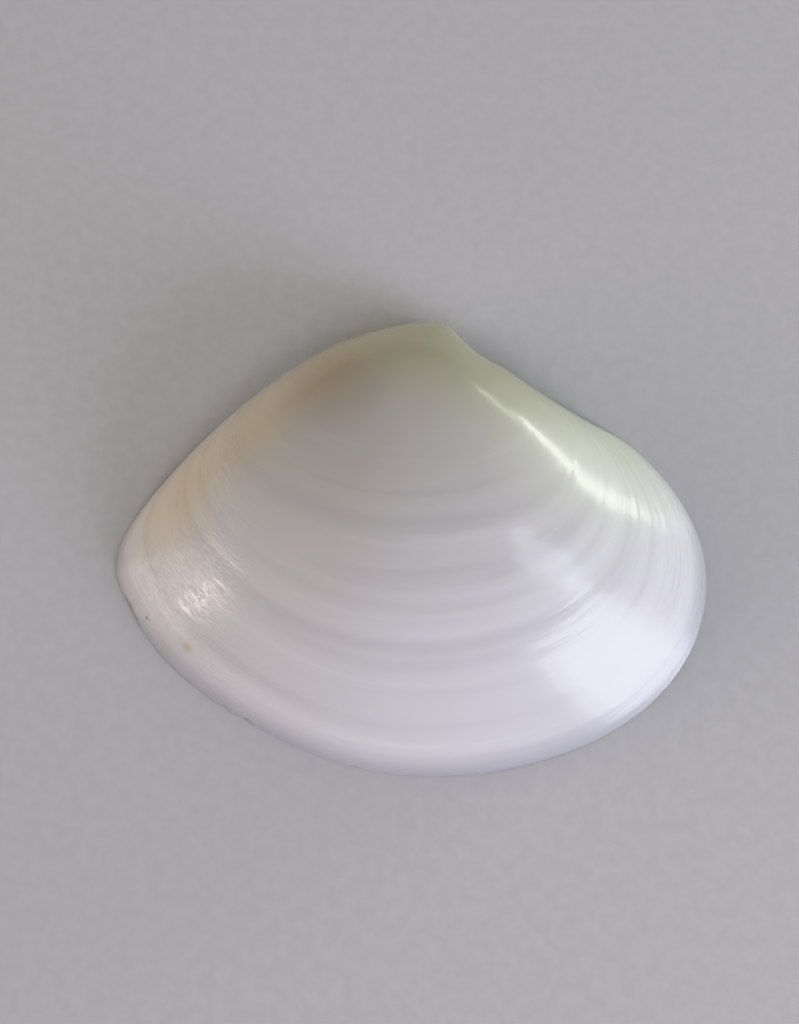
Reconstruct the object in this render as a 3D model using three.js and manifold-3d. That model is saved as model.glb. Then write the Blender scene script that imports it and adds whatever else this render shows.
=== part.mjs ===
// One valve of a trough shell, lying on its rim with the hollow side down.
// Millimetres. +X runs to the front end, +Y to the hinge, +Z up through the back of the shell.
// The origin is under the middle of the shell, on the plane of the rim.
//
// A valve grows only at its edge. Every earlier edge is a smaller copy of the last one, turned
// a little about the hinge line, so the shell is a fan of such rings, from the beak to the rim.

import * as THREE from "three";
import { mergeVertices } from "three/addons/utils/BufferGeometryUtils.js";
import Module from "manifold-3d";

// Growth centre, on the hinge line.
const HINGE_X = -0.78;
const HINGE_Y = 17.94;

// The rim's outline, measured from the growth centre: forward, and away from the hinge (minus).
const RIM = [
  [2.4, -1.0], [7.1, -2.5], [12.05, -5.4], [17.4, -7.8], [20.45, -10.0], [23.3, -13.4],
  [25.3, -17.9], [25.45, -22.4], [23.65, -27.3], [19.0, -32.15], [12.2, -35.35], [4.2, -36.75],
  [-4.35, -36.0], [-12.35, -32.65], [-19.2, -27.8], [-23.0, -22.6], [-24.0, -18.9],
  [-21.75, -14.35], [-16.83, -8.82], [-11.34, -4.26], [-6.55, -1.41], [-2.0, -0.9],
];
const LOWEST_POINT = 11;

// How the rings turn and change as they shrink. Ring 1 is the rim, ring 0 is the beak.
const TURN = 3.12;
const TURN_POWER = 0.33;
const DOME = 0.84;
const YOUNG_DEPTH = 0.31;
const YOUNG_REAR_DEPTH = -0.33;
const YOUNG_LENGTH = 0.11;
const YOUNG_SLANT = 0.051;
const BEAK_LEAN = 2.78;
const BEAK_RING = 0.134;
const BEAK_POWER = 2.7;

// Where the rear begins, back from the growth centre, and where the belly does, down from it.
const REAR = [0, 12];
const BELLY = [9.2, 23.9];

// The dip in front of the beak, pressed in towards the hollow.
const DIP_DEPTH = 0.45;
const DIP_AT = [5.85, 2.8];
const DIP_SIZE = [1.2, 2.3];
const DIP_FADES = [6, 3];

// Two chips in the rim: place round the outline (0 to 1), half width, how far it breaks back.
const CHIPS = [
  { at: 0.71, half: 0.018, back: 0.012 },
  { at: 0.605, half: 0.01, back: 0.01 },
];
const CHIP_FADE = 8;

// Wall, measured in the plane of a ring.
const RIM_WALL = 0.9;
const WALL = 1.9;
const WALL_FROM_RING = 0.86;

// Hinge plate under the beak. It lies where the outline faces the hinge, from partly to squarely.
const FACES_HINGE = [0.45, 0.85];
const BESIDE_HINGE = 0.3;
const PLATE_DEPTH = 4.4;
const PLATE_REACH = 6.2;
const PLATE_TOP = 2.9;
const PLATE_HALF_LENGTH = 15;
const PLATE_TAPER = 6;
const PLATE_FACE = 0.9;
const PLATE_EDGE = 1.25;
const BELOW_RIM = -1;

// The pit of the ligament, as an outline from the growth centre.
const PIT_TOP = 1.8;
const PIT = [[-0.2, -1.9], [-0.8, -1.9], [-3.4, -6.5], [0.4, -6.5]];

// Hinge teeth. Lateral ones follow the outline: where they run along X, and how far in they stand.
const TOOTH_TIP = 0.15;
const TOOTH_ROOT = 1.4;
const TOOTH_STEPS = 8;
const TOOTH_NARROWEST = 0.05;
const CARDINAL_WIDTH = 0.45;
const CARDINALS = [
  [[1.0, -1.8], [1.1, -3.2], [0.9, -4.6]],
  [[1.5, -1.8], [2.7, -2.9], [3.7, -4.3]],
];
const LATERAL_WIDTH = 0.5;
const LATERALS = [
  { from: -12.0, to: -4.6, inset: 2.1 },
  { from: -11.0, to: -5.2, inset: 3.3 },
  { from: 5.4, to: 12.0, inset: 2.1 },
  { from: 5.6, to: 11.2, inset: 3.3 },
];

// How finely it is faceted.
const STEPS_ROUND = 76;
const OUTER_RINGS = 32;
const OUTER_CROWDING = 1.45;
const INNER_RINGS = 17;
const SMALLEST_RING = 0.035;
const HOLLOW_ROUNDS_FROM = 0.27;
const HOLLOW_ENDS = 0.13;
const WELD = 1e-4;

const wasm = await Module();
wasm.setup();

function smoothstep(low, high, value) {
  const x = Math.min(1, Math.max(0, (value - low) / (high - low)));
  return x * x * (3 - 2 * x);
}

// The rim as a closed curve through its points.
const rimCurve = new THREE.CatmullRomCurve3(
  RIM.map(([x, y]) => new THREE.Vector3(x, y, 0)),
  true,
  "centripetal",
);
const rimPoints = rimCurve.getSpacedPoints(STEPS_ROUND).slice(0, STEPS_ROUND);

// Angle of a ring about the hinge line.
function ringAngle(ring) {
  return TURN * (1 - ring ** TURN_POWER);
}

// Young shells were deeper at the belly, and shallower behind the beak, by this share.
function youngDepth(rim) {
  const rear = smoothstep(REAR[0], REAR[1], -rim.x);
  const belly = smoothstep(BELLY[0], BELLY[1], -rim.y);
  return THREE.MathUtils.lerp(YOUNG_DEPTH, YOUNG_REAR_DEPTH, rear * (1 - belly));
}

// A ring's outline in its own plane. Young shells also leant back a little.
function ringOutline(ring) {
  const young = 1 - ring;
  return rimPoints.map((rim) => {
    const y = rim.y * (1 + youngDepth(rim) * young);
    const x = rim.x * (1 + YOUNG_LENGTH * young) + YOUNG_SLANT * young * y;
    return new THREE.Vector2(ring * x, ring * y);
  });
}

// Folds a point of a ring's plane about the hinge line to its place in the shell.
// The fan of rings is a little flatter than a round one.
function place(point, ring) {
  const angle = ringAngle(ring);
  const lean = BEAK_LEAN * Math.exp(-((ring / BEAK_RING) ** BEAK_POWER));
  return new THREE.Vector3(
    HINGE_X + lean + point.x,
    HINGE_Y + point.y * Math.cos(angle),
    -point.y * Math.sin(angle) * DOME,
  );
}

// Presses the dip in front of the beak into the outside.
function pressDip(point) {
  const alongHinge = (point.x - DIP_AT[0]) / DIP_SIZE[0];
  const up = (point.z - DIP_AT[1]) / DIP_SIZE[1];
  const nearHinge = smoothstep(HINGE_Y - DIP_FADES[0], HINGE_Y - DIP_FADES[1], point.y);
  point.y -= DIP_DEPTH * nearHinge * Math.exp(-(alongHinge ** 2) - up ** 2);
  return point;
}

// How far the shell grew at each step round the rim: 1, or less where a chip broke off.
function lastRing(step) {
  const round = step / STEPS_ROUND;
  let ring = 1;
  for (const chip of CHIPS) {
    const away = Math.abs(round - chip.at) / chip.half;
    ring -= chip.back * Math.max(0, 1 - away ** 2);
  }
  return ring;
}

function outerRing(share) {
  return rimPoints.map((_, step) => {
    const ring = share * lastRing(step);
    return pressDip(place(ringOutline(ring)[step], ring));
  });
}

// Which way a closed outline faces at one of its points.
function outward(outline, step) {
  const count = outline.length;
  const before = outline[(step + count - 1) % count];
  const after = outline[(step + 1) % count];
  return new THREE.Vector2(before.y - after.y, after.x - before.x).normalize();
}

function centre(points) {
  const sum = new THREE.Vector2();
  for (const point of points) {
    sum.addScaledVector(point, 1 / points.length);
  }
  return sum;
}

// The hollow's outline in a ring's plane: the ring, set in by the wall and the hinge plate.
function hollowOutline(ring) {
  const outline = ringOutline(ring);
  const wall = THREE.MathUtils.lerp(WALL, RIM_WALL, smoothstep(WALL_FROM_RING, 1, ring));
  const angle = ringAngle(ring);
  const plate = Math.min(PLATE_DEPTH, PLATE_TOP / Math.sin(angle));
  const inset = outline.map((point, step) => {
    const out = outward(outline, step);
    const facesHinge = smoothstep(FACES_HINGE[0], FACES_HINGE[1], out.y);
    const reach = PLATE_HALF_LENGTH - Math.abs(point.x);
    const plateShare = facesHinge * smoothstep(0, PLATE_TAPER, reach);
    const depth = wall + Math.max(0, plate - wall) * plateShare;
    return point.clone().addScaledVector(out, -depth);
  });
  const middle = centre(inset);
  const closing = (ring - HOLLOW_ENDS) / (HOLLOW_ROUNDS_FROM - HOLLOW_ENDS);
  const size = Math.sqrt(Math.min(1, Math.max(0, closing)));
  return inset.map((point) => middle.clone().lerp(point, size));
}

function innerRing(ring) {
  return rimPoints.map((_, step) => {
    const own = ring * THREE.MathUtils.lerp(1, lastRing(step), ring ** CHIP_FADE);
    return place(hollowOutline(own)[step], own);
  });
}

// One closed skin: the outside from beak to rim, the flat rim, then the hollow up to its roof.
function shellGeometry() {
  const rings = [];
  for (let k = 0; k <= OUTER_RINGS; k += 1) {
    const share = SMALLEST_RING + (1 - SMALLEST_RING) * (k / OUTER_RINGS) ** OUTER_CROWDING;
    rings.push(outerRing(share));
  }
  for (let k = 0; k < INNER_RINGS; k += 1) {
    const share = 1 - (1 - HOLLOW_ENDS) * (k / INNER_RINGS);
    rings.push(innerRing(share));
  }
  const tipRing = SMALLEST_RING / 2;
  const beak = place(new THREE.Vector2(0, tipRing * RIM[LOWEST_POINT][1]), tipRing);
  const roof = place(centre(hollowOutline(HOLLOW_ENDS)), HOLLOW_ENDS);
  const positions = [beak, ...rings.flat(), roof];
  const last = positions.length - 1;
  const at = (ring, step) => 1 + ring * STEPS_ROUND + (step % STEPS_ROUND);
  const faces = [];
  for (let step = 0; step < STEPS_ROUND; step += 1) {
    faces.push(0, at(0, step + 1), at(0, step));
    for (let ring = 0; ring < rings.length - 1; ring += 1) {
      faces.push(at(ring, step), at(ring + 1, step + 1), at(ring + 1, step));
      faces.push(at(ring, step), at(ring, step + 1), at(ring + 1, step + 1));
    }
    faces.push(last, at(rings.length - 1, step), at(rings.length - 1, step + 1));
  }
  const geometry = new THREE.BufferGeometry().setFromPoints(positions);
  geometry.setIndex(faces);
  return geometry;
}

// Joins and cuts work on solids whose shared corners are merged.
function solid(geometry) {
  const bare = geometry.clone();
  bare.deleteAttribute("normal");
  bare.deleteAttribute("uv");
  const merged = mergeVertices(bare, WELD);
  const mesh = new wasm.Mesh({
    numProp: 3,
    vertProperties: new Float32Array(merged.attributes.position.array),
    triVerts: new Uint32Array(merged.index.array),
  });
  return new wasm.Manifold(mesh);
}

// An upright block on an outline given in millimetres from the growth centre.
function block(outline, low, high) {
  const shape = new THREE.Shape(outline.map(([x, y]) => new THREE.Vector2(x, y)));
  const geometry = new THREE.ExtrudeGeometry(shape, { depth: high - low, bevelEnabled: false });
  geometry.translate(HINGE_X, HINGE_Y, low);
  return solid(geometry);
}

// A thin tooth along a line of points, narrowed at both ends.
function lamella(line, width) {
  const curve = new THREE.CatmullRomCurve3(line.map(([x, y]) => new THREE.Vector3(x, y, 0)));
  const left = [];
  const right = [];
  for (let k = 0; k <= TOOTH_STEPS; k += 1) {
    const share = k / TOOTH_STEPS;
    const point = curve.getPoint(share);
    const along = curve.getTangent(share);
    const fullness = Math.max(TOOTH_NARROWEST, Math.sin(Math.PI * share));
    const half = (width / 2) * Math.sqrt(fullness);
    left.push([point.x - along.y * half, point.y + along.x * half]);
    right.unshift([point.x + along.y * half, point.y - along.x * half]);
  }
  return block([...left, ...right], TOOTH_TIP, TOOTH_ROOT);
}

// A line beside the hinge side of the outline, set in by a distance, from one X to another.
function besideHinge(from, to, inset) {
  const line = [];
  rimPoints.forEach((point, step) => {
    const out = outward(rimPoints, step);
    const x = point.x - out.x * inset;
    if (out.y > BESIDE_HINGE && x >= from && x <= to) {
      line.push([x, point.y - out.y * inset]);
    }
  });
  return line.sort((a, b) => a[0] - b[0]);
}

// The strip of hinge plate that is cut back above the rim, so that the teeth stand inside it.
function plateStrip() {
  const outer = besideHinge(-PLATE_HALF_LENGTH, PLATE_HALF_LENGTH, PLATE_EDGE);
  const inner = besideHinge(-PLATE_HALF_LENGTH, PLATE_HALF_LENGTH, PLATE_REACH);
  return block([...inner, ...outer.reverse()], BELOW_RIM, PLATE_FACE);
}

// The hinge: two thin cardinal teeth in a peak, the ligament's pit behind them,
// and a pair of long lateral teeth, with a slot between, at each side.
function hinge(shell) {
  const cut = shell.subtract(plateStrip()).subtract(block(PIT, 0, PIT_TOP));
  const teeth = CARDINALS.map((line) => lamella(line, CARDINAL_WIDTH));
  for (const lateral of LATERALS) {
    teeth.push(lamella(besideHinge(lateral.from, lateral.to, lateral.inset), LATERAL_WIDTH));
  }
  return teeth.reduce((whole, tooth) => whole.add(tooth), cut);
}

// Turns a finished solid back into a mesh's geometry.
function toGeometry(finished) {
  const mesh = finished.getMesh();
  const geometry = new THREE.BufferGeometry();
  geometry.setAttribute("position", new THREE.Float32BufferAttribute(mesh.vertProperties, 3));
  geometry.setIndex(Array.from(mesh.triVerts));
  geometry.computeVertexNormals();
  return geometry;
}

const porcelain = new THREE.MeshStandardMaterial({
  color: 0xd8d5d0,
  roughness: 0.28,
  metalness: 0,
});

const valve = new THREE.Mesh(toGeometry(hinge(solid(shellGeometry()))), porcelain);
valve.name = "valve";

const shell = new THREE.Group();
shell.add(valve);

export default shell;
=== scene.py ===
# %% [markdown]
# # A trough shell valve, grown ring by ring
# This lesson dresses one half of a trough shell: a smooth white valve that lies on its rim
# with the hollow side down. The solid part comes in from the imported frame, and a finer shell
# takes its place. Everything is in metres in the file, but a shell is easier to think about
# in millimetres, so the numbers below are millimetres until the mesh is made.

# %% Load the frame
import math

import bpy
import numpy as np
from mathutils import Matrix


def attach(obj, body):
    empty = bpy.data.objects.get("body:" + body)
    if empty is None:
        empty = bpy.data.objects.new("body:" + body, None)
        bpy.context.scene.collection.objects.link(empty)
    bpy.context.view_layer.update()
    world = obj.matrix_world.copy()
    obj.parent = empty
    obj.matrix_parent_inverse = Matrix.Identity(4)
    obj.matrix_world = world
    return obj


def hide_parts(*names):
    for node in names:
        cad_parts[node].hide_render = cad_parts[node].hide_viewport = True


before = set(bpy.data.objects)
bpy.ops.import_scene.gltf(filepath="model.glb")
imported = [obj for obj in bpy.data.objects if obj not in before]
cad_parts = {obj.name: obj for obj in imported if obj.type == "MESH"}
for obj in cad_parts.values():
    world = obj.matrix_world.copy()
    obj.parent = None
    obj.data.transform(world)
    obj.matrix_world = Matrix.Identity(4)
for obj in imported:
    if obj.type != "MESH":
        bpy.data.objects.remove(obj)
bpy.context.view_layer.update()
MM = 0.001

# %% [markdown]
# ## The camera
# The photo was taken by hand from a little in front of straight above. The camera comes
# first, because every later choice is judged through it. The lens is given by its focal
# length in the photo's pixels, and the sensor is the usual 36 mm along the long side.

# %% Camera
PICTURE = (799, 1024)
FOCAL_PIXELS = 1100
CAMERA_AT = (-0.931, -11.69, 92.06)
CAMERA_TILT = 0.1581
SENSOR = 36

camera_data = bpy.data.cameras.new("camera")
camera_data.sensor_width = SENSOR
camera_data.lens = SENSOR * FOCAL_PIXELS / max(PICTURE)
camera = bpy.data.objects.new("camera", camera_data)
camera.location = [value * MM for value in CAMERA_AT]
camera.rotation_euler = (CAMERA_TILT, 0, 0)
camera_data.clip_start = MM
bpy.context.collection.objects.link(camera)
bpy.context.scene.camera = camera
print("lens, mm:", round(camera_data.lens, 2))

# %% [markdown]
# ## How a shell grows
# A mollusc adds shell only at the open edge. Each old edge stays where it was, so the whole
# valve is a stack of ever smaller copies of the rim, and each copy is turned a little about
# the hinge line. Here ring 1 is the rim and ring 0 is the tip of the beak. Modelling it this
# way makes the growth lines, the beak and the flat rim come out right by themselves, which
# no pulled and pushed sphere would do. First, a few small helpers.


# %% Helpers for numbers
def smoothstep(low, high, value):
    share = np.clip((value - low) / (high - low), 0, 1)
    return share * share * (3 - 2 * share)


def bump_curve(value, middle, width):
    """A soft hump: 1 in the middle and nearly 0 at twice the width from it."""
    return np.exp(-(((value - middle) / width) ** 2))


FINE_STEPS = 200


def closed_spline(points, count):
    """An even run of points on the smoothest closed curve through the given ones."""
    points = np.array(points, float)
    following = np.roll(points, -1, 0)
    step = np.sqrt(np.linalg.norm(following - points, axis=1))
    number = len(points)
    slope = (following - points) / step[:, None]
    bend = np.zeros((number, number))
    for k in range(number):
        bend[k, k - 1] = step[k - 1]
        bend[k, k] = 2 * (step[k - 1] + step[k])
        bend[k, (k + 1) % number] = step[k]
    second = np.linalg.solve(bend, 6 * (slope - np.roll(slope, 1, 0)))
    share = np.linspace(0, 1, FINE_STEPS, endpoint=False)[:, None]
    pieces = []
    for k in range(number):
        after = (k + 1) % number
        straight = (1 - share) * points[k] + share * points[after]
        curl = ((1 - share) ** 3 - (1 - share)) * second[k] + (share**3 - share) * second[after]
        pieces.append(straight + step[k] ** 2 / 6 * curl)
    fine = np.vstack(pieces)
    fine = np.vstack([fine, fine[:1]])
    length = np.r_[0, np.cumsum(np.linalg.norm(np.diff(fine, axis=0), axis=1))]
    wanted = np.linspace(0, length[-1], count, endpoint=False)
    even = np.stack([np.interp(wanted, length, fine[:, axis]) for axis in (0, 1)], 1)
    return even, length[-1]


# %% The rim's outline
HINGE = (-0.78, 17.94)
RIM = [
    (2.4, -1.0), (7.1, -2.5), (12.05, -5.4), (17.4, -7.8), (20.45, -10.0), (23.3, -13.4),
    (25.3, -17.9), (25.45, -22.4), (23.65, -27.3), (19.0, -32.15), (12.2, -35.35),
    (4.2, -36.75), (-4.35, -36.0), (-12.35, -32.65), (-19.2, -27.8), (-23.0, -22.6),
    (-24.0, -18.9), (-21.75, -14.35), (-16.83, -8.82), (-11.34, -4.26), (-6.55, -1.41),
    (-2.0, -0.9),
]
COLUMNS = 560

rim, rim_length = closed_spline(RIM, COLUMNS)
around = np.arange(COLUMNS) / COLUMNS
print("rim length, mm:", round(rim_length, 1))

# %% [markdown]
# ## The growth law
# A ring's size is its share of the rim. Young shells were deeper at the belly and shallower
# behind the beak, so the outline changes a little as it shrinks, and the first rings lean
# forward into the beak. The turn about the hinge line is quick near the beak and slow near the
# rim, which gives a dome that is steepest at the top.

# %% Growth law
TURN = 3.12
TURN_POWER = 0.33
DOME = 0.84
YOUNG_DEPTH = 0.31
YOUNG_REAR_DEPTH = -0.33
REAR = (0, 12)
BELLY = (9.2, 23.9)
YOUNG_LENGTH = 0.11
YOUNG_SLANT = 0.051
BEAK_LEAN = 2.78
BEAK_RING = 0.134
BEAK_POWER = 2.7

behind_beak = smoothstep(*REAR, -rim[:, 0]) * (1 - smoothstep(*BELLY, -rim[:, 1]))
young_depth = YOUNG_DEPTH + (YOUNG_REAR_DEPTH - YOUNG_DEPTH) * behind_beak
print("young depth, from and to:", round(young_depth.min(), 2), round(young_depth.max(), 2))


def ring_angle(ring):
    return TURN * (1 - ring**TURN_POWER)


def ring_outline(ring):
    """Outlines in the rings' own planes: one row for each ring, one column round the rim."""
    young = 1 - ring
    y = rim[:, 1] * (1 + young_depth * young)
    x = rim[:, 0] * (1 + YOUNG_LENGTH * young) + YOUNG_SLANT * young * y
    return np.stack([ring * x, ring * y], -1)


def fold(plane, ring):
    """Turns points of the rings' planes about the hinge line to their places in the shell."""
    angle = ring_angle(ring)
    lean = BEAK_LEAN * np.exp(-((ring / BEAK_RING) ** BEAK_POWER))
    x = HINGE[0] + lean + plane[..., 0]
    y = HINGE[1] + plane[..., 1] * np.cos(angle)
    z = -plane[..., 1] * np.sin(angle) * DOME
    return np.stack([x, y, z], -1)


# %% [markdown]
# ## Growth measured in millimetres
# Growth lines are millimetres apart on the shell, not shares of a ring. So the length of the
# way from the beak over the dome to the middle of the lower edge is measured once, and a ring
# can then be named by how far the shell had grown.

# %% Millimetres of growth
SMALLEST_RING = 0.006
RING_STEPS = 3000
LOWEST_COLUMN = int(np.argmin(rim[:, 1]))
ring_steps = np.linspace(SMALLEST_RING**0.5, 1, RING_STEPS) ** 2
middle_line = fold(ring_outline(ring_steps[:, None]), ring_steps[:, None])[:, LOWEST_COLUMN]
grown_steps = np.r_[0, np.cumsum(np.linalg.norm(np.diff(middle_line, axis=0), axis=1))]
FULL_GROWTH = grown_steps[-1]


def ring_at(grown):
    return np.interp(grown, grown_steps, ring_steps)


def grown_at(ring):
    return np.interp(ring, ring_steps, grown_steps)


print("from beak to lower edge over the dome, mm:", round(FULL_GROWTH, 1))

# %% [markdown]
# ## Growth lines
# When growth stops for a winter, or after a storm, the edge is left as a faint ring: a shallow
# groove with a low lip beside it. The strongest rings of this shell are listed by ring size,
# with their strength from 0 to 1. They wander a little on their way round, and so do the low
# swells between them, which are given by length, height and start. Finer lines come later,
# from the finish.

# %% Growth lines
GROWTH_STOPS = [
    (0.225, 0.12), (0.300, 0.15), (0.372, 0.15), (0.421, 0.35), (0.511, 0.70), (0.530, 0.35),
    (0.600, 0.30), (0.640, 0.50), (0.706, 1.00), (0.737, 0.75), (0.787, 0.40), (0.866, 0.45),
    (0.925, 0.30), (0.965, 0.30),
]
STOP_DEPTH = 0.012
STOP_WIDTH = 0.5
SHADE_WIDTH = 1.3 * STOP_WIDTH
LIP_BEYOND = 2.1 * STOP_WIDTH
LIP_WIDTH = 1.7 * STOP_WIDTH
LIP_SHARE = 0.45
WANDERS = [(0.10, 3, 40), (0.05, 7, 90)]
SWELLS = [(2.9, 0.008, 1.3), (1.83, 0.006, 4.1), (1.31, 0.004, 0.4)]
SWELL_WANDERS = [(0.9, 2, 1), (0.5, 5, 2)]


def growth_relief(grown):
    """Height of the growth lines and of the low swells between them, mm, and the painted shade of
    the lines' grooves.
    """
    turn = 2 * np.pi * around
    height = np.zeros(np.broadcast_shapes(grown.shape, around.shape))
    shade = np.zeros_like(height)
    for ring, strength in GROWTH_STOPS:
        depth = strength * STOP_DEPTH
        place = grown_at(ring)
        for reach, waves, start in WANDERS:
            place = place + reach * np.sin(waves * turn + start * ring)
        height -= depth * bump_curve(grown, place, STOP_WIDTH)
        # Each groove also gets a painted shade in the colour, a little wider than the groove.
        shade += strength * bump_curve(grown, place, SHADE_WIDTH)
        height += LIP_SHARE * depth * bump_curve(grown, place + LIP_BEYOND, LIP_WIDTH)
    for length, tall, start in SWELLS:
        wander = 0
        for reach, waves, starts in SWELL_WANDERS:
            wander = wander + reach * np.sin(waves * turn + starts * start)
        height += tall * np.sin(2 * np.pi * grown / length + start + wander)
    return height, shade


print("growth stops:", len(GROWTH_STOPS))

# %% [markdown]
# ## A worn edge
# The thin edge of a beach shell is never whole. This one has a wide chip at the rear end with
# a step in it, a small one below, and tiny nicks round both. A break doesn't move the growth
# lines: it only ends the shell sooner, so each is a place where the last ring is a little
# smaller than 1. A break is given by its place, half its width and its depth, all as shares.

# %% Chips and nicks
CHIPS = [(0.7095, 0.0105, 0.009), (0.7005, 0.0045, 0.005), (0.6025, 0.0055, 0.012)]
NICKS = 46
NICK_PLACES = (0.52, 0.80)
NICK_HALVES = (0.0016, 0.0055)
NICK_BACKS = (0.001, 0.005)
NICK_POWER = 1.5
DICE_SEED = 11

last_ring = np.ones(COLUMNS)
for at, half, back in CHIPS:
    last_ring -= back * np.clip(1 - ((around - at) / half) ** 2, 0, 1)
dice = np.random.default_rng(DICE_SEED)
for _ in range(NICKS):
    at = dice.uniform(*NICK_PLACES)
    half = dice.uniform(*NICK_HALVES)
    back = dice.uniform(*NICK_BACKS)
    last_ring -= back * np.clip(1 - np.abs((around - at) / half) ** NICK_POWER, 0, 1)
print("deepest break, share of the rim:", round(1 - last_ring.min(), 3))

# %% [markdown]
# ## The outside
# Rows of the outside follow the growth from the beak to the edge. They lie closer together at
# the beak, at the growth stops and at the edge, where the form changes fastest. The dip in
# front of the beak is pressed in, and the relief is laid on along the surface's own normals.
# Near the hinge the rings crowd together, so the relief is lowered there in step with their
# spacing.

# %% Rows of the outside
OUTER_ROWS = 112
FIRST_ROW = 0.35
TRIAL_STEPS = 4000
STOP_SPREAD = 0.8
EDGE_CROWDING = 2
EDGE_SPREAD = 0.6
BEAK_CROWDING = 1.5
BEAK_SPREAD = 2
CROWDED_POWER = 1.5
SMOOTH_EDGE = 1.0
DIP_DEPTH = 0.45
DIP_AT = (5.85, 2.8)
DIP_SIZE = (1.2, 2.3)
DIP_FADES = (6, 3)

trial = np.linspace(FIRST_ROW, FULL_GROWTH, TRIAL_STEPS)
crowding = np.ones_like(trial)
for ring, strength in GROWTH_STOPS:
    crowding += strength * bump_curve(trial, grown_at(ring), STOP_SPREAD)
crowding += EDGE_CROWDING * bump_curve(trial, FULL_GROWTH, EDGE_SPREAD)
crowding += BEAK_CROWDING * bump_curve(trial, FIRST_ROW, BEAK_SPREAD)
running = np.cumsum(crowding)
running = (running - running[0]) / (running[-1] - running[0])
outer_grown = np.interp(np.linspace(0, 1, OUTER_ROWS), running, trial)[:, None]


def surface_normals(points):
    across = np.roll(points, -1, 1) - np.roll(points, 1, 1)
    along = np.gradient(points, axis=0)
    normal = np.cross(along, across)
    return normal / np.linalg.norm(normal, axis=-1, keepdims=True)


own_ring = ring_at(outer_grown) * last_ring
outside = fold(ring_outline(own_ring), own_ring)
along_hinge = (outside[..., 0] - DIP_AT[0]) / DIP_SIZE[0]
above = (outside[..., 2] - DIP_AT[1]) / DIP_SIZE[1]
near_hinge = smoothstep(HINGE[1] - DIP_FADES[0], HINGE[1] - DIP_FADES[1], outside[..., 1])
outside[..., 1] -= DIP_DEPTH * near_hinge * np.exp(-(along_hinge**2) - above**2)

spacing = np.linalg.norm(np.gradient(outside, axis=0), axis=-1)
spacing /= np.gradient(outer_grown, axis=0)
relief, stop_painted_shade = growth_relief(grown_at(own_ring))
relief *= np.clip(spacing, 0, 1) ** CROWDED_POWER
relief *= smoothstep(0, SMOOTH_EDGE, FULL_GROWTH - outer_grown)
outward_normal = surface_normals(outside)
outward_normal *= np.sign(outward_normal[OUTER_ROWS // 2, LOWEST_COLUMN, 2])
outside += relief[..., None] * outward_normal
print("height of the dome, mm:", round(outside[..., 2].max(), 2))

# %% [markdown]
# ## The hollow
# The inside follows the same rings, set in by the thickness of the wall. On the hinge side it
# is set in further, which leaves the hinge plate, the thick shelf that carries the teeth. In
# the small rings near the beak the wall thins in step with the ring, so that no outline
# crosses itself, and the last ones close to a round roof.

# %% Hollow
RIM_WALL = 0.9
WALL = 1.9
WALL_FROM_RING = 0.86
PLATE_DEPTH = 4.4
PLATE_TOP = 2.9
PLATE_HALF_LENGTH = 15
PLATE_TAPER = 6
FACES_HINGE = (0.45, 0.85)
SMALLEST_SINE = 0.1
THINNER_FROM = 0.42
HOLLOW_ROUNDS_FROM = 0.27
HOLLOW_ENDS = 0.13
LAST_INNER_RING = HOLLOW_ENDS + 0.004
INNER_ROWS = 34
CHIPS_FADE_POWER = 8
SMOOTHINGS = 12


def outline_facing(outline):
    """Which way each point of clockwise outlines faces, away from the middle."""
    before = np.roll(outline, 1, -2)
    after = np.roll(outline, -1, -2)
    facing = np.stack([before[..., 1] - after[..., 1], after[..., 0] - before[..., 0]], -1)
    return facing / np.linalg.norm(facing, axis=-1, keepdims=True)


def hollow_outline(ring):
    """The hollow's outlines, in the planes of the rings."""
    outline = ring_outline(ring)
    facing = outline_facing(outline)
    wall = WALL + (RIM_WALL - WALL) * smoothstep(WALL_FROM_RING, 1, ring)
    sine = np.maximum(SMALLEST_SINE, np.sin(ring_angle(ring)))
    plate = np.minimum(PLATE_DEPTH, PLATE_TOP / sine)
    reach = PLATE_HALF_LENGTH - np.abs(outline[..., 0])
    share = smoothstep(*FACES_HINGE, facing[..., 1]) * smoothstep(0, PLATE_TAPER, reach)
    depth = (wall + np.maximum(0, plate - wall) * share) * np.minimum(1, ring / THINNER_FROM)
    inset = outline - facing * depth[..., None]
    middle = inset.mean(-2, keepdims=True)
    closing = np.clip((ring - HOLLOW_ENDS) / (HOLLOW_ROUNDS_FROM - HOLLOW_ENDS), 0, 1)
    return middle + (inset - middle) * np.sqrt(closing)[..., None]


inner_ring = np.linspace(1, LAST_INNER_RING, INNER_ROWS)[:, None] * np.ones(COLUMNS)
inner_ring *= 1 + (last_ring - 1) * inner_ring**CHIPS_FADE_POWER
hollow_plane = hollow_outline(inner_ring)
for _ in range(SMOOTHINGS):
    beside = np.roll(hollow_plane, 1, 1) + np.roll(hollow_plane, -1, 1)
    hollow_plane = (beside + 2 * hollow_plane) / 4
hollow = fold(hollow_plane, inner_ring)
print("roof of the hollow, mm:", round(hollow[..., 2].max(), 2))

# %% [markdown]
# ## The hinge
# Seen from below, the plate carries two thin teeth in a peak under the beak, a spoon shaped
# pit behind them that held the ligament, and a pair of long thin teeth at each side. All of
# it is relief on one face, so it is worked out as a height above the rim's plane: first the
# face itself, a little above the rim, then the pit sunk into it, then the teeth left standing.

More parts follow.
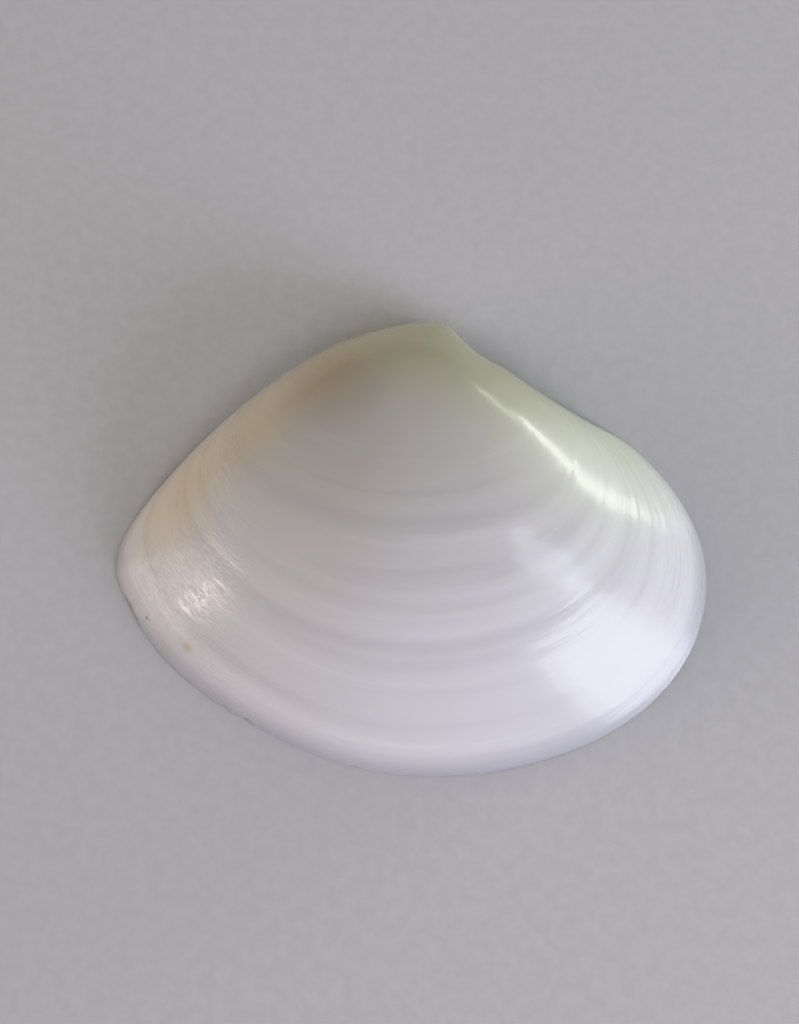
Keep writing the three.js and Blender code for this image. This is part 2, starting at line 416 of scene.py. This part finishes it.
# %% Hinge
PLATE_FACE = 0.9
PLATE_EDGE = (1.05, 1.6)
PLATE_ENDS = (15, 12.5)
PLATE_REACH = (8.2, 6.2)
PIT = dict(top=(-0.5, -1.9), bottom=(-1.5, -6.5), narrow=0.3, wide=1.9, depth=1.8)
PIT_NARROWEST = 0.05
PIT_SIDE = (1.0, 0.75)
PIT_START = (-0.03, 0.08)
PIT_END = (1.25, 1.0)
PIT_ROUND = 0.25
TOOTH_TIP = 0.15
CARDINALS = [[(1.0, -1.8), (1.1, -3.2), (0.9, -4.6)], [(1.5, -1.8), (2.7, -2.9), (3.7, -4.3)]]
LATERALS = [(-12.0, -4.6, 2.1), (-11.0, -5.2, 3.3), (5.4, 12.0, 2.1), (5.6, 11.2, 3.3)]
TOOTH_SIDE = (0.52, 0.12)
TOOTH_ENDS = (0.04, 0.96)
FACES_UP = 0.3
HINGE_EVERY = 4
LATERAL_EVERY = 6

rim_facing = outline_facing(rim)
hinge_side = rim[rim_facing[:, 1] > FACES_UP]
hinge_side = hinge_side[np.argsort(hinge_side[:, 0])][::HINGE_EVERY]
print("hinge side, mm:", round(hinge_side[-1, 0] - hinge_side[0, 0], 1))


def distance_to(points, line):
    """Distance from points to a line of points, and how far along it the nearest place is."""
    best = np.full(points.shape[:-1], np.inf)
    place = np.zeros(points.shape[:-1])
    line = np.array(line, float)
    for k in range(len(line) - 1):
        along = line[k + 1] - line[k]
        share = np.clip(((points - line[k]) @ along) / (along @ along), 0, 1)
        away = np.linalg.norm(points - line[k] - share[..., None] * along, axis=-1)
        place = np.where(away < best, (k + share) / (len(line) - 1), place)
        best = np.minimum(best, away)
    return best, place


def beside_hinge(start, end, inset):
    """A line that runs along the hinge side of the rim from one x to another, set in."""
    line = rim - rim_facing * inset
    chosen = (rim_facing[:, 1] > FACES_UP) & (line[:, 0] >= start) & (line[:, 0] <= end)
    line = line[chosen]
    return line[np.argsort(line[:, 0])][::LATERAL_EVERY]


def hinge_height(x, y):
    """How high the face of the plate stands above the rim's plane at a place, mm."""
    points = np.stack([x, y], -1)
    inset, _ = distance_to(points, hinge_side)
    height = PLATE_FACE * smoothstep(*PLATE_EDGE, inset)
    height *= smoothstep(*PLATE_ENDS, np.abs(x)) * smoothstep(*PLATE_REACH, inset)
    down = (PIT["top"][1] - y) / (PIT["top"][1] - PIT["bottom"][1])
    middle = PIT["top"][0] + (PIT["bottom"][0] - PIT["top"][0]) * down
    half = PIT["narrow"] + (PIT["wide"] - PIT["narrow"]) * down
    aside = np.abs(x - middle) / np.maximum(half, PIT_NARROWEST)
    sunk = smoothstep(*PIT_SIDE, aside) * smoothstep(*PIT_START, down)
    sunk *= smoothstep(*PIT_END, down)
    height = np.maximum(height, PIT["depth"] * (1 - PIT_ROUND * aside**2) * sunk)
    for line in CARDINALS + [beside_hinge(*lateral) for lateral in LATERALS]:
        away, place = distance_to(points, line)
        stands = np.sin(np.pi * np.clip(place, *TOOTH_ENDS)) ** 0.5
        stands *= smoothstep(*TOOTH_SIDE, away)
        height = np.minimum(height, height + (TOOTH_TIP - height) * stands)
    return height


# %% [markdown]
# ## The face of the rim
# Between the outer and the inner edge lies the flat face that the valve rests on. Its rows are
# spread evenly from one edge to the other, and over the hinge plate they take the height just
# worked out. The hollow beside the plate is lifted with it, less and less towards the roof, so
# that the two surfaces meet.

# %% Face of the rim
FACE_ROWS = 30
PLATE_SIDE = 16
LIFT_FADES = 4.5

outer_edge = outside[-1]
inner_edge = hollow[0]
face_share = np.linspace(0, 1, FACE_ROWS + 2)[1:-1, None, None]
face = outer_edge + (inner_edge - outer_edge) * face_share
on_plate = np.abs(face[..., 0] - HINGE[0]) < PLATE_HALF_LENGTH
on_plate &= face[..., 1] > HINGE[1] - PLATE_SIDE
raised = np.where(on_plate, hinge_height(face[..., 0] - HINGE[0], face[..., 1] - HINGE[1]), 0)
face[..., 2] += raised

edge_raised = hinge_height(inner_edge[:, 0] - HINGE[0], inner_edge[:, 1] - HINGE[1])
edge_raised *= inner_edge[:, 1] > HINGE[1] - PLATE_SIDE
hollow[..., 2] += edge_raised * (1 - smoothstep(0, LIFT_FADES, hollow[..., 2]))
print("highest point of the hinge face, mm:", round(raised.max(), 2))

# %% [markdown]
# ## One skin
# The outside, the face of the rim and the hollow are rows of one sheet. A grid primitive has
# just that form, so one is added with a row for each ring and a column for each step round
# the rim, and its points are moved to their places. Its two long sides then meet under the
# beak, and its first and last rows shrink to the beak's tip and the hollow's roof, so merging
# doubles closes it. Each point also keeps its place in the growth as an attribute: the way
# round the rim as a circle in x and y, and the millimetres grown in z. The patterns of the
# finish are drawn in that space.

# %% Lay the rows together
tip = np.broadcast_to(outside[0].mean(0), (1, COLUMNS, 3))
roof = np.broadcast_to(hollow[-1].mean(0), (1, COLUMNS, 3))
rows = np.vstack([tip, outside, face, hollow, roof])
row_count = len(rows)

# The growth is counted on past the edge: one more millimetre over the face, then up the hollow.
inner_grown = grown_at(inner_ring)
grown_rows = np.vstack([
    np.zeros((1, COLUMNS)),
    grown_at(own_ring),
    FULL_GROWTH + face_share[..., 0] * np.ones(COLUMNS),
    2 * FULL_GROWTH + 1 - inner_grown,
    np.full((1, COLUMNS), 2 * FULL_GROWTH + 1),
])
print("rows:", row_count, "columns:", COLUMNS)

# %% Make the mesh
MERGE_WITHIN = 1e-7
SMOOTH_UNDER = 45

bpy.ops.object.select_all(action="DESELECT")
bpy.ops.mesh.primitive_grid_add(x_subdivisions=COLUMNS, y_subdivisions=row_count - 1, size=1)
shell = bpy.context.active_object
shell.name = "trough_shell"
mesh = shell.data
mesh.name = "trough_shell"
while mesh.uv_layers:
    mesh.uv_layers.remove(mesh.uv_layers[0])

sheet = np.concatenate([rows, rows[:, :1]], 1).reshape(-1, 3)
mesh.vertices.foreach_set("co", (sheet * MM).ravel())

turn = 2 * np.pi * np.r_[around, 1.0]
round_radius = rim_length / (2 * np.pi)
rings = np.zeros((row_count, COLUMNS + 1, 3))
rings[..., 0] = round_radius * np.cos(turn)
rings[..., 1] = round_radius * np.sin(turn)
rings[..., 2] = np.concatenate([grown_rows, grown_rows[:, :1]], 1)
growth = mesh.attributes.new("growth", "FLOAT_VECTOR", "POINT")
growth.data.foreach_set("vector", rings.ravel())

# The painted shade of the growth stops' grooves is kept on the points as well.
stop_shade_rows = np.zeros((row_count, COLUMNS + 1))
stop_shade_rows[1 : OUTER_ROWS + 1] = np.concatenate([stop_painted_shade, stop_painted_shade[:, :1]], 1)
growth_stop_shade = mesh.attributes.new("growth_stop_shade", "FLOAT", "POINT")
growth_stop_shade.data.foreach_set("value", stop_shade_rows.ravel())
mesh.update()

bpy.ops.object.mode_set(mode="EDIT")
bpy.ops.mesh.select_all(action="SELECT")
bpy.ops.mesh.remove_doubles(threshold=MERGE_WITHIN)
bpy.ops.mesh.normals_make_consistent(inside=False)
bpy.ops.object.mode_set(mode="OBJECT")
bpy.ops.object.shade_smooth_by_angle(angle=math.radians(SMOOTH_UNDER))
mesh.calc_loop_triangles()
print("triangles:", len(mesh.loop_triangles))

# %% [markdown]
# ## The finish
# A trough shell is aragonite, laid down in thin crossed layers. It has the gloss of glazed
# porcelain and lets a little light in before sending it back, so it is a white with some
# subsurface light. The colour is laid down with the growth: bands a shade lighter or darker,
# and a warmer, greyer white on the old part near the beak. Noise that is stretched along the
# rings draws such bands, and the same noise in finer sizes later draws the ripples.


# %% Helpers for materials
def linear(hex_colour):
    """An sRGB hex colour as the linear RGBA that a shader takes."""
    parts = [int(hex_colour[k : k + 2], 16) / 255 for k in (1, 3, 5)]
    return [p / 12.92 if p <= 0.04045 else ((p + 0.055) / 1.055) ** 2.4 for p in parts] + [1.0]


def add_node(tree, kind, inputs, out=0, **settings):
    """Adds a node and gives one of its outputs. An input takes a value or another's output."""
    made = tree.nodes.new(kind)
    for name, value in settings.items():
        setattr(made, name, value)
    for name, value in inputs.items():
        if isinstance(value, bpy.types.NodeSocket):
            tree.links.new(value, made.inputs[name])
        else:
            made.inputs[name].default_value = value
    return made.outputs[out] if made.outputs else made


def new_material(name):
    material = bpy.data.materials.new(name)
    material.use_nodes = True
    material.node_tree.nodes.clear()
    return material


# %% Patterns that follow the growth
porcelain = new_material("aragonite_porcelain_outside")
tree = porcelain.node_tree
place_in_growth = add_node(tree, "ShaderNodeAttribute", {}, out="Vector", attribute_name="growth")
grown_mm = add_node(tree, "ShaderNodeSeparateXYZ", {"Vector": place_in_growth}, out="Z")
stop_shade_mask = add_node(tree, "ShaderNodeAttribute", {}, out="Fac", attribute_name="growth_stop_shade")
here = add_node(tree, "ShaderNodeTexCoord", {}, out="Object")


def streaks(tree, source, long_mm, across_mm, detail, roughness=0.5):
    """Noise drawn out along the growth lines, given its size along them and across them."""
    scale = (1 / long_mm, 1 / long_mm, 1 / across_mm)
    stretched = add_node(tree, "ShaderNodeMapping", {"Vector": source, "Scale": scale})
    settings = {"Vector": stretched, "Scale": 1.0, "Detail": detail, "Roughness": roughness}
    return add_node(tree, "ShaderNodeTexNoise", settings, out="Fac")


def tinted(tree, under, tint, mask, low, high, strength=1.0):
    """Lays a tint over a colour where a mask goes from low to high."""
    reach = {"Value": mask, "From Min": low, "From Max": high, "To Max": strength}
    share = add_node(tree, "ShaderNodeMapRange", reach, interpolation_type="SMOOTHSTEP")
    layers = {0: share, 6: under, 7: linear(tint)}
    return add_node(tree, "ShaderNodeMix", layers, out=2, data_type="RGBA")


def tinted_near(tree, under, tint, place, where_mm, reach_mm, strength=1.0):
    """Lays a tint over a colour round one place on the shell."""
    ends = {0: place, 1: tuple(value * MM for value in where_mm)}
    away = add_node(tree, "ShaderNodeVectorMath", ends, out="Value", operation="DISTANCE")
    return tinted(tree, under, tint, away, reach_mm * MM, 0.0, strength)


# %% [markdown]
# ## Colour of the outside
# The ground colour goes from the old white at the beak over a middle one to the young white, and
# to a painted grey shade in the thin last millimetres towards the edge. Bands lie over it, and
# grey stop lines that are painted shade in the grooves of the growth stops. Last come soft round
# tints: the stain along the rear, a painted greenish light on the front, a painted shade behind
# the beak, a spot and a tiny dark speck. Each is given by its place on the shell, its reach in
# millimetres and its strength.

# %% Colour of the outside
OLD_WHITE = "#C3BD9F"
MIDDLE_WHITE = "#C8C5C4"
YOUNG_WHITE = "#DCDADF"
EDGE_PAINTED_SHADE_GREY = "#A9A8B2"
BAND_LIGHT = "#E9E8ED"
BAND_GREY_AND_STOP_SHADE = "#ACABB2"
STAIN = "#E0CCA2"
FRONT_PAINTED_GREEN_LIGHT = "#E4E8D4"
BEAK_TINT = "#B9BA98"
BEHIND_BEAK_PAINTED_SHADE = "#94827C"
SPOT = "#BDB688"
SPECK = "#3B332B"
STAINS = [
    ((-19.5, 2.5, 2.5), 6.5, 0.45), ((-16.9, 6.0, 3.5), 6.0, 0.5),
    ((-12.1, 9.5, 5.0), 6.5, 0.5), ((-7.5, 13.5, 6.0), 6.5, 0.45),
]
TINTS = [(STAIN, *stain) for stain in STAINS] + [
    # A painted greenish light over the front flank.
    (FRONT_PAINTED_GREEN_LIGHT, (16, 12, 3), 17, 1.0),
    (BEAK_TINT, (7, 14, 4.5), 11, 0.72),
    # A painted shade behind the beak, where the dome turns away from the light.
    (BEHIND_BEAK_PAINTED_SHADE, (-6.2, 12.6, 7.6), 7, 0.36),
    (SPOT, (-18.19, -8.40, 1.99), 1.0, 0.45),
    (SPECK, (-21.86, -5.98, 0.82), 0.16, 1.0),
    (SPECK, (-21.76, -6.12, 0.855), 0.14, 0.8),
]
MIDDLE_GROWN = (3, 19)
YOUNG_GROWN = (18, 38)
EDGE_SHADE_WIDE = 3.2
EDGE_SHADE_STRENGTH = 0.75
BANDS_GROWN = (10, 26)
OLD_BANDS = 0.75
BAND_LONG = 70
BAND = 2.4
LIGHT_BANDS = (0.52, 0.72, 0.4)
DARK_BANDS = (0.46, 0.30, 0.2)
STOP_SHADE_EDGES = (0.0, 1.0, 0.2)

bands = streaks(tree, place_in_growth, BAND_LONG, BAND, detail=3)
colour = tinted(tree, linear(OLD_WHITE), MIDDLE_WHITE, grown_mm, *MIDDLE_GROWN)
colour = tinted(tree, colour, YOUNG_WHITE, grown_mm, *YOUNG_GROWN)
# Painted grey shade along the last millimetres of the thin edge.
edge_shade_reach = (FULL_GROWTH - EDGE_SHADE_WIDE, FULL_GROWTH, EDGE_SHADE_STRENGTH)
colour = tinted(tree, colour, EDGE_PAINTED_SHADE_GREY, grown_mm, *edge_shade_reach)
young = add_node(tree, "ShaderNodeMapRange", {
    "Value": grown_mm,
    "From Min": BANDS_GROWN[0],
    "From Max": BANDS_GROWN[1],
    "To Min": OLD_BANDS,
})
young_bands = add_node(tree, "ShaderNodeMath", {0: bands, 1: young}, operation="MULTIPLY")
colour = tinted(tree, colour, BAND_LIGHT, young_bands, *LIGHT_BANDS)
colour = tinted(tree, colour, BAND_GREY_AND_STOP_SHADE, bands, *DARK_BANDS)
# Painted shade along the grooves of the growth stops.
colour = tinted(tree, colour, BAND_GREY_AND_STOP_SHADE, stop_shade_mask, *STOP_SHADE_EDGES)
for tint, where, reach, strength in TINTS:
    colour = tinted_near(tree, colour, tint, here, where, reach, strength)
print("soft tints on the outside:", len(TINTS))

# %% [markdown]
# ## Where the outside is worn
# The middle of the valve is polished and its ends are not, so two masks grow with the distance
# from the smoothest place: ripples start early, fine lines and dull streaks only near the
# ends. A third mask marks one patch at the rear end that sand has scoured.

# %% Masks
SMOOTHEST_X = 3
FINE_FROM = 11
FINE_TO = 22
RIPPLES_FROM = 3
RIPPLES_TO = 10
LEAST_BUMP = 0.05
SCOURED_AT = (-18.3, -4.6, 3.8)
SCOURED_FROM = 3.5
SCOURED_TO = 8

lengthwise = add_node(tree, "ShaderNodeSeparateXYZ", {"Vector": here}, out="X")
shift = {0: lengthwise, 1: SMOOTHEST_X * MM}
shifted = add_node(tree, "ShaderNodeMath", shift, operation="SUBTRACT")
from_middle = add_node(tree, "ShaderNodeMath", {0: shifted}, operation="ABSOLUTE")
crisp = add_node(tree, "ShaderNodeMapRange", {
    "Value": from_middle,
    "From Min": FINE_FROM * MM,
    "From Max": FINE_TO * MM,
    "To Min": LEAST_BUMP,
}, interpolation_type="SMOOTHSTEP")
rippled = add_node(tree, "ShaderNodeMapRange", {
    "Value": from_middle,
    "From Min": RIPPLES_FROM * MM,
    "From Max": RIPPLES_TO * MM,
    "To Min": LEAST_BUMP,
}, interpolation_type="SMOOTHSTEP")
scour = {0: here, 1: tuple(value * MM for value in SCOURED_AT)}
from_scour = add_node(tree, "ShaderNodeVectorMath", scour, out="Value", operation="DISTANCE")
scoured = add_node(tree, "ShaderNodeMapRange", {
    "Value": from_scour,
    "From Min": SCOURED_TO * MM,
    "From Max": SCOURED_FROM * MM,
}, interpolation_type="SMOOTHSTEP")
print("polished within mm of its middle:", RIPPLES_FROM)

# %% [markdown]
# ## Shine of the outside
# Aragonite bends light a little more than glass does, and on a worn shell the gloss is broken
# by relief. Three bumps lie one on the other: fine growth lines, broader ripples that break up
# the gleams, and the scoured patch's short scratches, which catch the light as glints. None is
# over three hundredths of a millimetre high, and all are drawn a little coarser than the real
# ones so that they show. A thin clear coat stands for the polish of the outermost layer.

# %% Shine of the outside
FINE_LONG = 5
FINE_LINE = 0.24
FINE_TALL = 0.007
RIPPLE_LONG = 7
RIPPLE = 0.6
RIPPLE_TALL = 0.028
GLINT_LONG = 0.9
GLINT = 0.22
GLINT_TALL = 0.02
GLINT_EDGES = (0.52, 0.66)
WEAR_LONG = 4
WEAR = 0.5
WORN = (0.3, 0.7)
FINISH = (0.24, 0.46)

fine = streaks(tree, place_in_growth, FINE_LONG, FINE_LINE, detail=3)
ripples = streaks(tree, place_in_growth, RIPPLE_LONG, RIPPLE, detail=2)
grit = streaks(tree, place_in_growth, GLINT_LONG, GLINT, detail=1)
wear = streaks(tree, place_in_growth, WEAR_LONG, WEAR, detail=4, roughness=0.7)
worn = add_node(tree, "ShaderNodeMath", {0: wear, 1: crisp}, operation="MULTIPLY")
finish = add_node(tree, "ShaderNodeMapRange", {
    "Value": worn,
    "From Min": WORN[0],
    "From Max": WORN[1],
    "To Min": FINISH[0],
    "To Max": FINISH[1],
})
glints = add_node(tree, "ShaderNodeMapRange", {
    "Value": grit,
    "From Min": GLINT_EDGES[0],
    "From Max": GLINT_EDGES[1],
}, interpolation_type="SMOOTHSTEP")
fine_bump = add_node(tree, "ShaderNodeBump", {
    "Height": fine,
    "Strength": crisp,
    "Distance": FINE_TALL * MM,
})
ripple_bump = add_node(tree, "ShaderNodeBump", {
    "Height": ripples,
    "Strength": rippled,
    "Distance": RIPPLE_TALL * MM,
    "Normal": fine_bump,
})
glint_bump = add_node(tree, "ShaderNodeBump", {
    "Height": glints,
    "Strength": scoured,
    "Distance": GLINT_TALL * MM,
    "Normal": ripple_bump,
})
print("fine lines, ripples and glints, mm apart:", FINE_LINE, RIPPLE, GLINT)

# %% Shader of the outside
ARAGONITE_IOR = 1.55
LIGHT_GETS_IN = 1.2
LIGHT_BY_COLOUR = (1.0, 0.9, 0.8)

shader = add_node(tree, "ShaderNodeBsdfPrincipled", {
    "Base Color": colour,
    "Roughness": finish,
    "IOR": ARAGONITE_IOR,
    "Subsurface Weight": 0.25,
    "Subsurface Radius": LIGHT_BY_COLOUR,
    "Subsurface Scale": LIGHT_GETS_IN * MM,
    "Coat Weight": 0.4,
    "Coat Roughness": 0.1,
    "Coat IOR": 1.5,
    "Coat Normal": glint_bump,
    "Normal": glint_bump,
})
add_node(tree, "ShaderNodeOutputMaterial", {"Surface": shader})
shell.data.materials.append(porcelain)
print("nodes in the outside's material:", len(tree.nodes))

# %% [markdown]
# ## The inside
# The inside was never worn by sand. It is whiter and smoother, with soft clouds, the whitest
# of them a little duller, and hardly any growth lines. It starts where the count of growth
# passes the edge, so each face of the mesh can tell which side it is on.

# %% Inside
INSIDE_WHITE = "#EFECE8"
INSIDE_SHADE = "#DDD8D0"
CLOUD_LONG = 40
CLOUD = 6
CLOUD_EDGES = (0.2, 0.8)
CLOUDY = (0.3, 0.7)
INSIDE_FINISH = (0.2, 0.36)
FAINT_LONG = 30
FAINT_LINE = 0.9
FAINT_TALL = 0.02

lining = new_material("aragonite_porcelain_inside")
tree = lining.node_tree
place_in_growth = add_node(tree, "ShaderNodeAttribute", {}, out="Vector", attribute_name="growth")
clouds = streaks(tree, place_in_growth, CLOUD_LONG, CLOUD, detail=2)
faint = streaks(tree, place_in_growth, FAINT_LONG, FAINT_LINE, detail=2)
colour = tinted(tree, linear(INSIDE_SHADE), INSIDE_WHITE, clouds, *CLOUD_EDGES)
dull = add_node(tree, "ShaderNodeMapRange", {
    "Value": clouds,
    "From Min": CLOUDY[0],
    "From Max": CLOUDY[1],
    "To Min": INSIDE_FINISH[0],
    "To Max": INSIDE_FINISH[1],
})
faint_bump = add_node(tree, "ShaderNodeBump", {
    "Height": faint,
    "Strength": 1.0,
    "Distance": FAINT_TALL * MM,
})
shader = add_node(tree, "ShaderNodeBsdfPrincipled", {
    "Base Color": colour,
    "Roughness": dull,
    "IOR": ARAGONITE_IOR,
    "Subsurface Weight": 0.25,
    "Subsurface Radius": LIGHT_BY_COLOUR,
    "Subsurface Scale": LIGHT_GETS_IN * MM,
    "Coat Weight": 0.15,
    "Coat Roughness": 0.15,
    "Coat IOR": 1.5,
    "Normal": faint_bump,
})
add_node(tree, "ShaderNodeOutputMaterial", {"Surface": shader})
shell.data.materials.append(lining)

# %% Which faces are inside
PAST_EDGE = 0.2

vertex_growth = np.zeros(len(mesh.vertices) * 3)
mesh.attributes["growth"].data.foreach_get("vector", vertex_growth)
grown_of_vertex = vertex_growth[2::3]
for polygon in mesh.polygons:
    if grown_of_vertex[list(polygon.vertices)].max() > FULL_GROWTH + PAST_EDGE:
        polygon.material_index = 1
print("faces inside:", sum(polygon.material_index for polygon in mesh.polygons))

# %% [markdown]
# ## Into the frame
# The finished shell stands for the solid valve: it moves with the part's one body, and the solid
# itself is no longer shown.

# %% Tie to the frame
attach(shell, "root")
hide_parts("valve")

# %% [markdown]
# ## Floor and light
# The floor is pale painted card, matt, so that only the shell gleams. Two cool panels low on
# the right, one inside the other, give the wide window-like gleam, and a third higher up
# lengthens it. Three small or narrow ones behind on the right light the ridge in front of the
# beak. Two warm ones on the left wake the fine lines and the glints at the rear end. The other
# panels only soften the shadows, so they are kept out of the gloss.

# %% Floor
FLOOR_SIZE = 1.2
FLOOR_DROP = 0.05
CARD_GREY = "#C6C6CA"
CARD_LIGHT = "#CACACE"
CARD_GRAIN = 1.111
GRAIN_EDGES = (0.3, 0.7)

bpy.ops.mesh.primitive_plane_add(size=FLOOR_SIZE, location=(0, 0, -FLOOR_DROP * MM))
floor = bpy.context.active_object
floor.name = "floor"
card = new_material("painted_card")
tree = card.node_tree
grain = add_node(tree, "ShaderNodeTexCoord", {}, out="Object")
fine_grain = {"Vector": grain, "Scale": 1 / (CARD_GRAIN * MM), "Detail": 2.0}
speckle = add_node(tree, "ShaderNodeTexNoise", fine_grain, out="Fac")
tone = tinted(tree, linear(CARD_GREY), CARD_LIGHT, speckle, *GRAIN_EDGES)
surface = add_node(tree, "ShaderNodeBsdfPrincipled", {"Base Color": tone, "Roughness": 0.8})
add_node(tree, "ShaderNodeOutputMaterial", {"Surface": surface})
floor.data.materials.append(card)
print("floor, m:", FLOOR_SIZE)

# %% Lights
NEAR = 0.5
FAR = 0.7


def softbox(name, azimuth, elevation, distance, size, power, hex_colour, gleams=True):
    """A panel that faces the shell, in degrees, metres and watts; azimuth 0 is the front end."""
    lamp = bpy.data.lights.new(name, "AREA")
    lamp.shape = "RECTANGLE"
    lamp.size, lamp.size_y = size
    lamp.energy = power
    lamp.color = linear(hex_colour)[:3]
    panel = bpy.data.objects.new(name, lamp)
    turn, rise = math.radians(azimuth), math.radians(elevation)
    panel.location = (
        distance * math.cos(rise) * math.cos(turn),
        distance * math.cos(rise) * math.sin(turn),
        distance * math.sin(rise),
    )
    panel.rotation_euler = (math.pi / 2 - rise, 0, turn + math.pi / 2)
    panel.visible_glossy = gleams
    bpy.context.collection.objects.link(panel)


softbox("window", -34, 15, NEAR, (0.24, 0.24), 1.05, "#EEF1FF")
softbox("window_edge", -34, 16, NEAR, (0.34, 0.30), 1.1, "#EEF1FF")
softbox("upper_window", -12, 44, NEAR, (0.12, 0.20), 0.22, "#EEF4FF")
softbox("ridge", 34, 9, NEAR, (0.20, 0.026), 0.42, "#FAFFF0")
softbox("ridge_front", 25, 4, NEAR, (0.05, 0.04), 0.08, "#FAFFF0")
softbox("ridge_back", 53, 14, NEAR, (0.12, 0.03), 0.06, "#F4FFE8")
softbox("rear", -165, 16, NEAR, (0.24, 0.18), 0.3, "#FFF2E4")
softbox("rear_glint", -160, 18, NEAR, (0.06, 0.06), 0.14, "#FFF6EC")
softbox("key", -80, 52, FAR, (0.5, 0.4), 1.22, "#FAF6FC", gleams=False)
softbox("rear_fill", 172, 22, FAR, (0.5, 0.3), 1.6, "#FFF3E2", gleams=False)
softbox("front_fill", 50, 32, FAR, (0.5, 0.3), 0.68, "#F8FFF2", gleams=False)

# %% Light of the room
ROOM_COLOUR = "#D0C8C0"
ROOM_STRENGTH = 0.18

world = bpy.data.worlds.new("studio")
world.use_nodes = True
background = world.node_tree.nodes["Background"]
background.inputs["Color"].default_value = linear(ROOM_COLOUR)
background.inputs["Strength"].default_value = ROOM_STRENGTH
bpy.context.scene.world = world
bpy.context.scene.view_settings.view_transform = "Khronos PBR Neutral"
